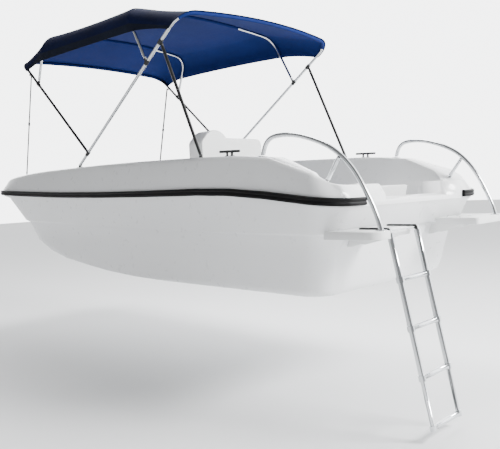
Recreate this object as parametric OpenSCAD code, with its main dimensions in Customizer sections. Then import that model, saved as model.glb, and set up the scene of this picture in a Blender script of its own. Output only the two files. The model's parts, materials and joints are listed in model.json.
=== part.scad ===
// Pedal boat: moulded hull and deck, two-person pedal drive with a paddle wheel in a centre box,
// tiller and rudder, folding canopy on four bows, stern platforms, handrails and a telescopic ladder.
// X points to the bow, Y to port, Z up. The origin is amidships on the flat bottom of the hull.

/* [Hull] */
// Aft end of the hull at the rub rail, from the origin
stern_reach = 2180; // [1900:10:2600]
// Forward end of the hull at the rub rail, from the origin
bow_reach = 2620; // [2200:10:3150]
// Half width of the hull at the rub rail
rail_half = 948; // [790:2:1140]
// Length of the rounded bow
nose_len = 620; // [500:10:760]
// Radius of the stern corners
stern_corner = 200; // [120:5:240]
// Thickness of the moulded skins
skin = 8; // [6:0.5:10]
// Height of the cockpit sole above the bottom
sole_h = 130; // [110:1:156]
// Half width of the cut-down sill in the transom
sill_half = 400; // [330:5:440]

/* [Rub rail] */
// Height of the rub rail section
rail_h = 50; // [40:1:60]
// How far the rub rail stands out
rail_out = 24; // [18:1:30]

/* [Drive] */
// Height of the crankshaft above the bottom
shaft_h = 320; // [300:1:350]
// Distance of the crankshaft aft of the origin
shaft_aft = 850; // [760:5:900]
// Diameter of the bent crankshaft
shaft_d = 25; // [20:1:30]
// Crank throw, shaft to pedal
crank_throw = 125; // [104:1:150]
// Radius of the paddle wheel
paddle_r = 350; // [290:1:360]
// Width of the paddle blades
paddle_w = 190; // [150:2:200]
// Number of paddle blades
paddle_count = 8; // [6:1:10]
// Width of a pedal along the crank pin
pedal_w = 88; // [70:1:105]

/* [Steering] */
// Distance of the rudder stock aft of the origin
rudder_aft = 1310; // [1290:2:1330]
// Length of the rudder blade
rudder_len = 250; // [210:2:300]
// Depth of the rudder blade below the hull
rudder_depth = 112; // [90:1:130]

/* [Canopy frame] */
// Diameter of the canopy tubes
tube_d = 25; // [20:1:28]
// Distance of the canopy deck hinges ahead of the origin
hinge_fwd = 740; // [640:5:840]
// Length of the main bow's straight legs
main_leg = 1720; // [1680:5:1820]
// Length of the front bow's straight legs
front_leg = 1390; // [1300:5:1440]
// Corner radius of the bows
bow_corner = 150; // [120:5:170]
// Thickness of the canopy cloth with its hems
cloth_t = 3; // [2:0.5:4]

/* [Stern platforms] */
// Height of the platform's top
platform_z = 430; // [425:1:450]
// Thickness of the platform moulding
platform_t = 48; // [40:1:52]
// Length of the platform aft of the transom
platform_len = 325; // [300:5:380]

/* [Ladder] */
// Spacing of the ladder rungs
rung_step = 280; // [250:1:300]
// Distance between the ladder's side tubes
ladder_w = 300; // [260:2:310]
// Outer radius of the first section's tubes
ladder_tube_r = 19; // [18:0.5:21]
// Wall of the ladder tubes
ladder_wall = 1.5; // [1:0.1:1.5]
// Play between two telescoping tubes
ladder_play = 0.5; // [0.3:0.1:0.5]
// Outward lean of the lowered ladder in degrees
ladder_lean = 12; // [8:1:16]

/* [Handrails] */
// Diameter of the handrail tube
handrail_d = 30; // [25:1:32]

/* [Hidden] */
$fn = 48;

gap = 0.4;                 // clearance between seated pieces
fit = 0.05;                // radial running fit of pins and shafts
stern_x = -stern_reach;
hull_len = stern_reach + bow_reach;
corner_x = stern_x + stern_corner;
nose_x = bow_reach - nose_len;
tube_r = tube_d / 2;
shaft_r = shaft_d / 2;

// ---- lines of the hull: [share of the length from the stern, height] ----
rail_line = [[0, 598], [0.05, 626], [0.12, 667], [0.18, 691], [0.25, 703], [0.37, 709], [0.52, 723],
             [0.66, 744], [0.8, 774], [0.9, 800], [1, 822]];
deck_line = [[0, 700], [0.012, 718], [0.02, 742], [0.033, 766], [0.065, 842], [0.098, 890], [0.136, 918], [0.195, 938],
             [0.266, 950], [0.389, 969], [0.5, 981], [0.62, 985], [0.74, 987], [0.84, 978], [0.91, 950],
             [0.957, 916], [1, 890]];
chine_line = [[0, 402], [0.4, 421], [0.55, 440], [0.67, 456], [0.75, 474], [1, 500]];
sill_z = 611;              // height of the cut-down sill
rail_band = 32;            // upright band behind the rub rail, half its height
joint_drop = 15;           // the hull and deck meet this far below the middle of the rub rail

function share(x) = (x - stern_x) / hull_len;
function rail_z(x) = lookup(share(x), rail_line);
function chine_z(x) = lookup(share(x), chine_line);

// ---- one closed outline seen from above: port half from the stern to the tip, then starboard ----
// aft, fore: ends; half: half width; rc: corner size across the boat; cx, nx: where corner and nose begin
corner_steps = 6;
side_steps = 12;
nose_steps = 12;
nose_power = 3.5;
rail_end = 640;            // the rub rail ends this far from the middle of the transom
function port_half(aft, fore, half, rc, cx, nx) = concat(
  [for (y = [0, sill_half - 2, sill_half + 2, rail_end]) [aft, min(y, half - rc - 4 + y / 200)]],
  [for (i = [0:corner_steps]) let (a = 90 * i / corner_steps)
    [cx - (cx - aft) * cos(a), half - rc + rc * sin(a)]],
  [for (i = [1:side_steps - 1]) [cx + (nx - cx) * i / side_steps, half]],
  [for (i = [0:nose_steps]) let (a = 90 * i / nose_steps)
    [nx + (fore - nx) * pow(sin(a), 2 / nose_power), half * pow(max(cos(a), 0), 2 / nose_power)]]
);
function outline(aft, fore, half, rc, cx = corner_x, nx = nose_x) =
  let (port = port_half(aft, fore, half, rc, cx, nx), n = len(port))
  concat(
    [for (i = [0:n - 2]) port[i]],
    [[port[n - 1][0], 0]],
    [for (i = [n - 2:-1:1]) [port[i][0], -port[i][1]]]
  );

rail_outline = outline(stern_x, bow_reach, rail_half, stern_corner);
ring_n = len(rail_outline);
sill_n = 1;                // outline points on each side of the middle that lie on the sill
function on_sill(i) = i <= sill_n || i >= ring_n - sill_n;
// Height of the deck's top at a point of an outline; round the stern it follows the rail's own points
function top_z(o, i) = on_sill(i) ? sill_z
  : lookup(share(rail_outline[i][0] <= corner_x + 1 ? rail_outline[i][0] : o[i][0]), deck_line);
function band_top(i) = min(rail_z(rail_outline[i][0]) + rail_band, top_z(rail_outline, i) - 14);

// ---- closed skin through a stack of rings, capped at both ends ----
// sheet: each ring runs out along one side of a thin sheet and back along the other
module skin_through(rings, sheet = false) {
  n = len(rings[0]);
  last = (len(rings) - 1) * n;
  points = [for (ring = rings, p = ring) p];
  // the second half of each ring is split the other way, so the two sides of the boat mirror each other
  sides = [for (k = [0:len(rings) - 2], i = [0:n - 1], part = [0, 1])
    let (a = k * n + i, b = k * n + (i + 1) % n)
    i < n / 2 ? (part == 0 ? [a, b, b + n] : [a, b + n, a + n])
      : (part == 0 ? [a, b, a + n] : [b, b + n, a + n])];
  flat_caps = [[for (i = [n - 1:-1:0]) i], [for (i = [0:n - 1]) last + i]];
  strip_caps = [for (i = [0:n / 2 - 2], half = [0, 1], end = [0, 1])
    let (a = i, b = i + 1, c = n - 2 - i, d = n - 1 - i, o = end * last)
    let (t = half == 0 ? [a, b, c] : [a, c, d])
    end == 0 ? [o + t[2], o + t[1], o + t[0]] : [o + t[0], o + t[1], o + t[2]]];
  polyhedron(points = points, faces = concat(sides, sheet ? strip_caps : flat_caps), convexity = 12);
}

// ---- hull ----
chine_half = rail_half - 66;
bottom_half = rail_half - 120;
lower_corner = 150;        // stern corner size below the chine
bottom_nose = 480;
stem_reach = bow_reach - 2620;  // the stem moves with the bow
// Each level: [height kind, height, aft end, fore end, half width]; kinds: 0 level, 1 from chine, 2 from rail
hull_levels = [
  [0, 0, stern_x + 262, 130, bottom_half - 62],
  [0, 18, stern_x + 246, 400, bottom_half - 24],
  [0, 45, stern_x + 238, 740, bottom_half - 6],
  [0, 80, stern_x + 228, 1060, bottom_half],
  [0, 130, stern_x + 216, 1460, bottom_half + 6],
  [0, 200, stern_x + 198, 1740, bottom_half + 14],
  [0, 300, stern_x + 174, 1950, bottom_half + 28],
  [1, -8, stern_x + 150, 2170, chine_half - 12],
  [1, 0, stern_x + 130, 2184, chine_half],
  [1, 12, stern_x + 92, 2204, chine_half + 14],
  [2, -62, stern_x + 30, 2490, rail_half - 15],
  [2, -rail_band, stern_x, 2620, rail_half],
  [2, -joint_drop - gap, stern_x, 2620, rail_half]
];
function level_nose(level) = level[0] == 0 ? level[3] + stem_reach - bottom_nose
                                           : level[3] + stem_reach - nose_len;
function level_z(level, i) = let (x = rail_outline[i][0])
  level[1] + (level[0] == 1 ? chine_z(x) : level[0] == 2 ? rail_z(x) : 0);
function level_corner(level) = level[0] == 2 ? stern_corner : lower_corner;
function hull_ring(level, inset, lift) = let (o = outline(level[2] + inset, level[3] + stem_reach - inset,
    level[4] - inset, level_corner(level) - inset, level[2] + level_corner(level), level_nose(level)))
  [for (i = [0:ring_n - 1]) [o[i][0], o[i][1], level_z(level, i) + lift]];
hull_top = len(hull_levels) - 1;
hull_rings = concat(
  [for (level = hull_levels) hull_ring(level, 0, 0)],
  [for (k = [hull_top:-1:8]) hull_ring(hull_levels[k], skin, 0)],
  [for (k = [7:-1:0]) hull_ring(hull_levels[k], skin, skin)]
);

wheel_in = paddle_w / 2 + 12;             // half width inside the wheel box
wheel_out = wheel_in + skin;
wheel_clear = paddle_r + 14;              // radius inside the wheel box
shaft_x = -shaft_aft;
box_fore = shaft_x + wheel_clear + skin;
box_aft = shaft_x - wheel_clear - skin;
stock_x = -rudder_aft;
stock_tube_r = 24;

module hull() color("#d9dadb") difference() {
  skin_through(hull_rings);
  translate([box_aft - gap, -wheel_out - gap, -10])
    cube([box_fore - box_aft + 2 * gap, 2 * (wheel_out + gap), 40]);
  translate([stock_x, 0, -10]) cylinder(h = 40, r = stock_tube_r + gap);
}

// ---- deck and cockpit in one moulding ----
pit_aft = stern_x + 195;                  // cockpit opening
pit_fore = nose_x - 580;
pit_half = rail_half - 210;
sole_aft = stern_x + 320;
sole_fore = nose_x - 1050;
sole_half = rail_half - 290;
ledge_z = 690;                            // ledge round the cockpit wall
// Deck shapes from the rail inwards: [aft, fore, half width, corner, corner start, nose start]
function deck_outline(inset, drop) = outline(stern_x + inset, bow_reach - drop, rail_half - inset,
  stern_corner - inset / 2);
function pit_outline(inset) = outline(pit_aft + inset, pit_fore - inset, pit_half - inset, 70,
  pit_aft + 80, pit_fore - 330);
function sole_outline(inset) = outline(sole_aft + inset, sole_fore - inset, sole_half - inset, 90,
  sole_aft + 100, sole_fore - 260);
function ring_flat(o, z) = [for (i = [0:ring_n - 1]) [o[i][0], o[i][1], z]];
function ring_below(o, d) = [for (i = [0:ring_n - 1]) [o[i][0], o[i][1], top_z(o, i) - d]];
function ring_between(o, f, d = 0) = [for (i = [0:ring_n - 1])
  [o[i][0], o[i][1], band_top(i) + f * (top_z(o, i) - band_top(i)) - d]];
function ring_ledge(o, d) = [for (i = [0:ring_n - 1]) [o[i][0], o[i][1], min(ledge_z, top_z(o, i) - 30) - d]];
function ring_joint(o) = [for (i = [0:ring_n - 1])
  [o[i][0], o[i][1], min(rail_z(rail_outline[i][0]) - joint_drop, top_z(rail_outline, i) - 28)]];
edge_inset = 62;
deck_rings = [
  ring_flat(sole_outline(46 - 2), sole_h - skin),
  ring_flat(sole_outline(12 - skin), sole_h + 6),
  ring_flat(sole_outline(-skin), sole_h + 50),
  ring_ledge(pit_outline(32 - skin), 9 + skin),
  ring_ledge(pit_outline(10 - skin), 4 + skin),
  ring_below(pit_outline(-skin), 10 + skin),
  ring_below(deck_outline(edge_inset + 6, 212), skin),
  ring_between(deck_outline(36 + skin, 124 + skin), 0.84, 5),
  ring_between(deck_outline(skin, skin), 0),
  ring_joint(deck_outline(skin, skin)),
  ring_joint(deck_outline(0, 0)),
  ring_between(deck_outline(0, 0), 0),
  ring_between(deck_outline(36, 124), 0.84),
  ring_between(deck_outline(47, 172), 0.96),
  ring_between(deck_outline(edge_inset, 205), 1),
  ring_below(pit_outline(-12), 0),
  ring_below(pit_outline(-3), 3),
  ring_below(pit_outline(0), 10),
  ring_ledge(pit_outline(10), 4),
  ring_ledge(pit_outline(32), 9),
  ring_flat(sole_outline(0), sole_h + 50),
  ring_flat(sole_outline(12), sole_h + 14),
  ring_flat(sole_outline(46), sole_h)
];

// Where a fitting stands on the side deck: [height, unit normal] of the deck's face at a point
outer_edge = ring_between(deck_outline(edge_inset, 205), 1);
inner_edge = ring_below(pit_outline(-12), 0);
function corner_share(p, a, b, c) = let (d = (b[1] - c[1]) * (a[0] - c[0]) + (c[0] - b[0]) * (a[1] - c[1]))
  d == 0 ? [-1, -1, -1]
    : let (u = ((b[1] - c[1]) * (p[0] - c[0]) + (c[0] - b[0]) * (p[1] - c[1])) / d,
           v = ((c[1] - a[1]) * (p[0] - c[0]) + (a[0] - c[0]) * (p[1] - c[1])) / d) [u, v, 1 - u - v];
function upward(n) = (n[2] < 0 ? -1 : 1) * n / norm(n);
seat_faces = [for (i = [0:ring_n - 1], half = [0, 1]) let (j = (i + 1) % ring_n)
  i < ring_n / 2
    ? (half == 0 ? [outer_edge[i], outer_edge[j], inner_edge[j]] : [outer_edge[i], inner_edge[j], inner_edge[i]])
    : (half == 0 ? [outer_edge[i], outer_edge[j], inner_edge[i]] : [outer_edge[j], inner_edge[j], inner_edge[i]])];
function seat_at(x, y) = [for (t = seat_faces) let (w = corner_share([x, y], t[0], t[1], t[2]))
  if (min(w) >= -0.0001) [w * [t[0][2], t[1][2], t[2][2]], upward(cross(t[1] - t[0], t[2] - t[0]))]][0];
// Puts a fitting on the deck with its base square to the deck's face
module on_deck(x, y, lift = gap) {
  seat = seat_at(x, y);
  up = seat[1];
  translate([x, y, seat[0]]) rotate([0, acos(up[2]), atan2(up[1], up[0])])
    rotate([0, 0, -atan2(up[1], up[0])]) translate([0, 0, lift]) children();
}

module deck() color("#f2f3f4") difference() {
  skin_through(deck_rings);
  translate([box_aft - gap, -wheel_out - gap, sole_h - 30])
    cube([box_fore - box_aft + 2 * gap, 2 * (wheel_out + gap), 60]);
  translate([stock_x, 0, sole_h - 30]) cylinder(h = 60, r = stock_tube_r + gap);
}

// ---- rub rail: a section swept along the outline from one side of the transom round to the other ----
rail_section = [[gap, -rail_h / 2], [rail_out * 0.7, -rail_h / 2], [rail_out, -rail_h * 0.34],
                [rail_out, -rail_h * 0.1], [rail_out * 0.84, 0], [rail_out, rail_h * 0.1],
                [rail_out, rail_h * 0.34], [rail_out * 0.7, rail_h / 2], [gap, rail_h / 2]];
rail_first = 3;
module rub_rail() color("#17181a") {
  m = len(rail_section);
  count = ring_n - 2 * rail_first + 1;
  rings = [for (p = rail_section)
    outline(stern_x - p[0], bow_reach + p[0], rail_half + p[0], stern_corner + p[0])];
  points = [for (j = [0:count - 1], k = [0:m - 1]) let (i = j + rail_first)
    [rings[k][i][0], rings[k][i][1], rail_z(rail_outline[i][0]) + rail_section[k][1]]];
  sides = [for (j = [0:count - 2], k = [0:m - 1], half = [0, 1])
    let (a = j * m + k, b = j * m + (k + 1) % m)
    half == 0 ? [b, a, a + m] : [b, a + m, b + m]];
  caps = [[for (k = [0:m - 1]) k], [for (k = [m - 1:-1:0]) (count - 1) * m + k]];
  polyhedron(points = points, faces = concat(sides, caps), convexity = 6);
}

// ---- buoyancy foam between the bottom and the sole ----
foam_in = wheel_out + 120;
foam_out = sole_half - 90;
module buoyancy_foam() color("#e9e2c8") for (s = [-1, 1])
  translate([stern_x + 420, s > 0 ? foam_in : -foam_out, skin + gap])
    cube([hull_len * 0.36, foam_out - foam_in, sole_h - 2 * skin - 2 * gap]);

// ---- wheel box: open below, round above, with the shaft bearings in its sides ----
bush_r = shaft_r + 9;
module box_profile(r, below) {
  translate([0, 0]) circle(r, $fn = 96);
  translate([-r, -shaft_h + below]) square([2 * r, shaft_h - below]);
}
module across(w) rotate([90, 0, 0]) linear_extrude(w, center = true) children();
module wheel_box() color("#e4e5e6") difference() {
  translate([shaft_x, 0, shaft_h]) across(2 * wheel_out) box_profile(wheel_clear + skin, 0);
  translate([shaft_x, 0, shaft_h]) across(2 * wheel_in) box_profile(wheel_clear, -50);
  translate([shaft_x, wheel_out + 5, shaft_h]) rotate([90, 0, 0])
    cylinder(h = 2 * wheel_out + 10, r = bush_r + fit);
}

flange_t = 6;
module shaft_bearings() color("#2b2d30") for (s = [-1, 1])
  translate([shaft_x, 0, shaft_h]) rotate([-90 * s, 0, 0]) difference() {
    union() {
      translate([0, 0, wheel_in - 4]) cylinder(h = skin + 4 + flange_t, r = bush_r);
      translate([0, 0, wheel_out]) cylinder(h = flange_t, r = bush_r + 14);
    }
    cylinder(h = wheel_out + 40, r = shaft_r + fit);
  }

// ---- crankshaft: one bent bar with two throws on each side ----
arm_in = wheel_out + 46;                  // first crank arm
throw_w = pedal_w + shaft_d + 4;          // from arm to arm
arm_mid = arm_in + throw_w;
pin_end = arm_mid + throw_w - shaft_r + 8;
throw_angle = [[1, 0], [-1, 90]];         // [side, angle of the first throw from straight up]
function rotated(a, r) = [sin(a) * r, cos(a) * r];
module bar(p, q, r) {
  d = q - p;
  len_d = norm(d);
  translate(p) rotate([0, acos(d[2] / len_d), atan2(d[1], d[0])]) cylinder(h = len_d, r = r);
}
module bent_bar(path, r) {
  for (i = [0:len(path) - 2]) bar(path[i], path[i + 1], r);
  for (i = [1:len(path) - 2]) translate(path[i]) sphere(r);
}
function crank_path(side, a) = let (u = rotated(a, crank_throw)) [
  [0, 0, 0], [0, side * arm_in, 0], [u[0], side * arm_in, u[1]], [u[0], side * arm_mid, u[1]],
  [-u[0], side * arm_mid, -u[1]], [-u[0], side * pin_end, -u[1]]];
module crankshaft() color("#9a9da1") translate([shaft_x, 0, shaft_h]) union() {
  for (t = throw_angle) bent_bar(crank_path(t[0], t[1]), shaft_r);
}

// ---- paddle wheel ----
hub_r = 36;
blade_t = 6;
module paddle_wheel() color("#3c4043") translate([shaft_x, 0, shaft_h]) rotate([90, 0, 0]) difference() {
  union() {
    cylinder(h = paddle_w, r = hub_r, center = true);
    for (k = [0:paddle_count - 1]) rotate([0, 0, 360 * k / paddle_count])
      translate([hub_r - 4, -blade_t / 2, -paddle_w / 2]) cube([paddle_r - hub_r + 4, blade_t, paddle_w]);
    for (z = [-1, 1]) translate([0, 0, z * paddle_w / 4]) difference() {
      cylinder(h = blade_t, r = paddle_r * 0.72, center = true);
      cylinder(h = blade_t + 2, r = paddle_r * 0.72 - 22, center = true);
    }
  }
  cylinder(h = paddle_w + 2, r = shaft_r + fit, center = true);
}

// ---- pedals: a ribbed block turning on its crank pin ----
pedal_l = 84;
pedal_t = 34;
pedal_corner = 9;
function pedal_place(side, first, a) = let (u = rotated(a, first ? crank_throw : -crank_throw))
  [shaft_x + u[0], side * (arm_in + (first ? 0.5 : 1.5) * throw_w), shaft_h + u[1]];
module pedal(place) translate(place) rotate([90, 0, 0]) difference() {
  linear_extrude(pedal_w, center = true) union() {
    square([pedal_l, pedal_t - 2 * pedal_corner], center = true);
    square([pedal_l - 2 * pedal_corner, pedal_t], center = true);
    for (x = [-1, 1], y = [-1, 1])
      translate([x * (pedal_l / 2 - pedal_corner), y * (pedal_t / 2 - pedal_corner)]) circle(pedal_corner);
  }
  cylinder(h = pedal_w + 2, r = shaft_r + fit, center = true);
  for (x = [-1, 1], y = [-1, 1]) translate([x * pedal_l * 0.36, y * pedal_t / 2, 0])
    cube([6, 6, pedal_w + 2], center = true);
}
module pedal_port_inner() color("#202225") pedal(pedal_place(1, true, throw_angle[0][1]));
module pedal_port_outer() color("#202225") pedal(pedal_place(1, false, throw_angle[0][1]));
module pedal_starboard_inner() color("#202225") pedal(pedal_place(-1, true, throw_angle[1][1]));
module pedal_starboard_outer() color("#202225") pedal(pedal_place(-1, false, throw_angle[1][1]));

cap_len = 10;
module crank_end_caps() color("#202225") for (t = throw_angle)
  translate(pedal_place(t[0], false, t[1]) - [0, 0, 0])
    rotate([-90 * t[0], 0, 0]) translate([0, 0, pin_end - arm_in - 1.5 * throw_w])
      cylinder(h = cap_len - 2, r = shaft_r + 5);

// ---- steering: rudder and tiller on one stock ----
stock_r = 15;
stock_top = 560;
blade_fore = 0.24;
module stock_tube() color("#e4e5e6") translate([stock_x, 0, 0]) difference() {
  union() {
    cylinder(h = 470, r = stock_tube_r);
    translate([0, 0, sole_h + gap]) cylinder(h = 6, r = stock_tube_r + 16);
  }
  translate([0, 0, -1]) cylinder(h = 480, r = stock_r + fit);
}
module rudder() color("#c9cbcd") translate([stock_x, 0, 0]) {
  translate([0, 0, -8]) cylinder(h = stock_top + 8, r = stock_r);
  translate([0, 0, -rudder_depth]) linear_extrude(rudder_depth - 6) union() {
    circle(stock_r);
    polygon([[rudder_len * blade_fore, 0], [rudder_len * 0.15, 8], [-rudder_len * 0.3, 8],
             [-rudder_len * (1 - blade_fore), 2], [-rudder_len * (1 - blade_fore), -2],
             [-rudder_len * 0.3, -8], [rudder_len * 0.15, -8]]);
  }
}
tiller_len = 230;
module tiller() color("#202225") translate([stock_x, 0, stock_top + 14]) {
  difference() {
    translate([0, 0, -44]) cylinder(h = 58, r = stock_r + 9);
    translate([0, 0, -45]) cylinder(h = 31 + fit, r = stock_r + fit);
  }
  rotate([0, -84, 0]) cylinder(h = tiller_len, r = 9);
  rotate([0, -84, 0]) translate([0, 0, tiller_len - 90]) cylinder(h = 100, r = 15);
  rotate([0, -84, 0]) translate([0, 0, tiller_len + 10]) sphere(15);
}

// ---- seats ----
seat_y = 322;
seat_half = 205;
seat_front = shaft_x - 430;
seat_len = 430;
pan_z = 445;
back_top = 685;
module seat(y) translate([0, y, 0]) difference() {
  rotate([90, 0, 0]) linear_extrude(2 * seat_half, center = true) polygon([
    [seat_front - 30, sole_h + gap], [seat_front, pan_z - 60], [seat_front + 6, pan_z - 12],
    [seat_front - 10, pan_z + 14], [seat_front - 60, pan_z + 20], [seat_front - seat_len + 70, pan_z],
    [seat_front - seat_len + 30, pan_z + 60], [seat_front - seat_len - 40, back_top - 20],
    [seat_front - seat_len - 56, back_top], [seat_front - seat_len - 76, back_top - 8],
    [seat_front - seat_len - 30, pan_z + 20], [seat_front - seat_len + 20, sole_h + gap]]);
  translate([seat_front - seat_len / 2 + 5, 0, pan_z + 425]) rotate([0, 90, 0])
    cylinder(h = seat_len - 150, r = 425, center = true, $fn = 96);
}
module seat_port() color("#f2f3f4") seat(seat_y);
module seat_starboard() color("#f2f3f4") seat(-seat_y);

bench_x = sole_fore - 570;
module bow_bench() color("#f2f3f4") difference() {
  translate([bench_x, 0, sole_h + gap]) rotate([90, 0, 0]) linear_extrude(2 * (sole_half - 150), center = true)
    polygon([[0, 0], [300, 0], [300, 300], [285, 316], [14, 316], [-14, 300], [-14, 280], [0, 268]]);
  translate([bench_x + 60, 0, sole_h + 120]) cube([400, 2 * (sole_half - 180), 200], center = true);
}

// ---- console ----
console_x = -390;
console_t = 180;
console_half = 360;
console_z = 1165;
hump_y = 200;
hump_r = 150;
module console() color("#f4f5f6") difference() {
  translate([console_x, 0, 0]) rotate([90, 0, 90]) linear_extrude(console_t) union() {
    translate([-console_half, sole_h + gap]) square([2 * console_half, console_z - 60 - sole_h - gap]);
    translate([-console_half + 60, sole_h + 100]) square([2 * console_half - 120, console_z - sole_h - 100]);
    for (s = [-1, 1]) translate([s * (console_half - 60), console_z - 60]) circle(60);
    translate([hump_y, console_z - hump_r + 65]) circle(hump_r);
  }
  translate([console_x + 20, -console_half + 20, sole_h - 10])
    cube([console_t - 40, 2 * console_half - 40, console_z - sole_h - 70]);
}

// ---- caps on the quarter blocks, bow eye and cleats ----
cap_y = sill_half + 150;
module corner_caps() color("#ffffff") for (s = [-1, 1]) on_deck(stern_x + 118, s * cap_y) {
  translate([-30, -30, 0]) cube([60, 60, 5]);
  translate([0, 0, 5]) cylinder(h = 3, r = 7);
}

eye_z = 640;
eye_hole_r = 12;
stem_low = [hull_levels[9][3] + stem_reach, chine_z(bow_reach) + hull_levels[9][1]];
stem_high = [hull_levels[10][3] + stem_reach, rail_z(bow_reach) + hull_levels[10][1]];
stem_lean = atan2(stem_high[0] - stem_low[0], stem_high[1] - stem_low[1]);
eye_x = stem_low[0] + (eye_z - stem_low[1]) * tan(stem_lean);
module tow_eye() color("#c8cbce") translate([eye_x, 0, eye_z]) rotate([0, 90 + stem_lean, 0]) difference() {
  union() {
    translate([0, 0, gap]) cylinder(h = 5, r = 24);
    translate([0, 0, 3]) cylinder(h = 26, r = 9);
    translate([0, 0, 46]) rotate([90, 0, 0]) cylinder(h = 12, r = 27, center = true);
  }
  translate([0, 0, 46]) rotate([90, 0, 0]) cylinder(h = 20, r = eye_hole_r, center = true);
}

cleat_x = -1210;
cleat_y = rail_half - 128;
module deck_cleats() color("#b9bcc0") for (s = [-1, 1]) on_deck(cleat_x, s * cleat_y) {
  for (x = [-24, 24]) {
    translate([x, 0, 0]) cylinder(h = 5, r = 18);
    translate([x, 0, 0]) cylinder(h = 34, r = 8);
  }
  translate([0, 0, 34]) rotate([0, 90, 0]) cylinder(h = 190, r = 9, center = true);
  for (x = [-95, 95]) translate([x, 0, 34]) sphere(9);
}

// ---- canopy frame ----
bow_half = rail_half - 80;
hinge_lift = 17;                          // pivot above the deck
bow_camber = 8;
eye_r = 11;
pin_r = 4;
jaw_off = 31.5;                            // pivot beside the tube it hangs on
hinge_pt = [hinge_fwd, seat_at(hinge_fwd, bow_half)[0] + hinge_lift];
main_angle = 146.9;                       // angles in the XZ plane, from +X towards +Z
front_angle = 40.8;
aft_mid_angle = 61.6;
fwd_mid_angle = 111.7;
front_at = 182;                           // places of the jaws along the legs
aft_mid_at = 1335;
brace_at = 1555;
fwd_mid_at = 1105;
aft_mid_leg = 372;
fwd_mid_leg = 290;
strap_at = front_leg - 78;
function along(p, a, s, off) = [p[0] + s * cos(a) + off * sin(a), p[1] + s * sin(a) - off * cos(a)];
front_pt = along(hinge_pt, main_angle, front_at, jaw_off);
aft_mid_pt = along(hinge_pt, main_angle, aft_mid_at, jaw_off);
brace_pt = along(hinge_pt, main_angle, brace_at, -jaw_off);
fwd_mid_pt = along(front_pt, front_angle, fwd_mid_at, -jaw_off);
strap_loop_r = 9.4;
strap_pt = along(front_pt, front_angle, strap_at, tube_r + strap_loop_r + gap);
brace_foot_x = -960;
brace_foot = [brace_foot_x, seat_at(brace_foot_x, bow_half)[0] + hinge_lift];
brace_vec = brace_pt - brace_foot;
brace_angle = atan2(brace_vec[1], brace_vec[0]);
brace_len = norm(brace_vec);

corner_arc = 5;
crown_arc = 8;
crown_radius = bow_corner + (bow_half - bow_corner) / sin(bow_camber);
// Half section of a bow in its own plane, from the hem to the middle: [y, height, normal y, normal z]
function half_section(leg, drop) = concat(
  [for (k = [0, 0.5]) [bow_half, leg - drop * (1 - k), 1, 0]],
  [for (i = [0:corner_arc]) let (a = (90 - bow_camber) * i / corner_arc)
    [bow_half - bow_corner + bow_corner * cos(a), leg + bow_corner * sin(a), cos(a), sin(a)]],
  [for (i = [1:crown_arc]) let (a = 90 - bow_camber * (1 - i / crown_arc))
    [crown_radius * cos(a), leg - (crown_radius - bow_corner) * cos(bow_camber) + crown_radius * sin(a),
     cos(a), sin(a)]]
);
function whole_section(leg, drop) = let (h = half_section(leg, drop), n = len(h))
  concat(h, [for (i = [n - 2:-1:0]) [-h[i][0], h[i][1], -h[i][2], h[i][3]]]);

// A round tube along a path that lies in a plane; side is that plane's normal
module swept_tube(path, r, side, first_dir, last_dir, count) {
  n = len(path);
  rings = [for (i = [0:n - 1])
    let (d = i == 0 ? first_dir : i == n - 1 ? last_dir : path[i + 1] - path[i - 1],
         u = cross(side, d) / norm(cross(side, d)),
         v = cross(d, u) / norm(cross(d, u)))
    [for (k = [0:count - 1]) let (a = -360 * k / count) path[i] + r * (u * cos(a) + v * sin(a))]];
  skin_through(rings);
}

// A U-shaped bow with its legs along local Z, from the height where the tube starts
module bow(leg, start) swept_tube([for (q = whole_section(leg, leg - start)) [0, q[0], q[1]]],
  tube_r, [1, 0, 0], [0, 0, 1], [0, 0, -1], 16);
module eye_end(start) difference() {
  union() {
    rotate([90, 0, 0]) cylinder(h = 8, r = eye_r, center = true);
    translate([-7, -4, 0]) cube([14, 8, start + 1]);
    translate([0, 0, start - 12]) cylinder(h = 12, r = tube_r);
  }
  rotate([90, 0, 0]) cylinder(h = 12, r = pin_r + fit, center = true);
}
module in_leg_frame(p, a) translate([p[0], 0, p[1]]) rotate([0, 90 - a, 0]) children();
module both_legs() for (s = [-1, 1]) translate([0, s * bow_half, 0]) children();

fork_in = 4.6;
fork_t = 4;
module fork_plates(r, back) for (s = [-1, 1]) translate([0, s * (fork_in + fork_t / 2), 0])
  rotate([90, 0, 0]) linear_extrude(fork_t, center = true) union() {
    circle(r);
    translate([-r, -back]) square([2 * r, back]);
  }
module deck_fork(x, y, lift) {
  up = seat_at(x, y)[0];
  difference() {
    union() {
      on_deck(x, y) children();
      translate([x, y, up + lift]) fork_plates(10, lift - gap - 2);
    }
    translate([x, y, up + lift]) rotate([90, 0, 0]) cylinder(h = 40, r = pin_r + fit, center = true);
  }
}
module canopy_deck_hinges() color("#1c1d1f") for (s = [-1, 1])
  deck_fork(hinge_fwd, s * bow_half, hinge_lift) translate([-36, -13, 0]) cube([72, 26, 3.4]);
module canopy_hinge_pins() color("#c8cbce") {
  translate([hinge_pt[0], 0, hinge_pt[1]]) for (s = [-1, 1]) translate([0, s * bow_half, 0])
    rotate([-90 * s, 0, 0]) translate([0, 0, -12]) {
      cylinder(h = 24, r = pin_r);
      translate([0, 0, -8]) cylinder(h = 8, r = 9);
    }
  translate([brace_foot[0], 0, brace_foot[1]]) both_legs() rotate([90, 0, 0])
    cylinder(h = 20, r = pin_r, center = true);
}
module brace_hinges() color("#1c1d1f") for (s = [-1, 1])
  deck_fork(brace_foot_x, s * bow_half, hinge_lift) cylinder(h = 3.4, r = 15);

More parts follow.
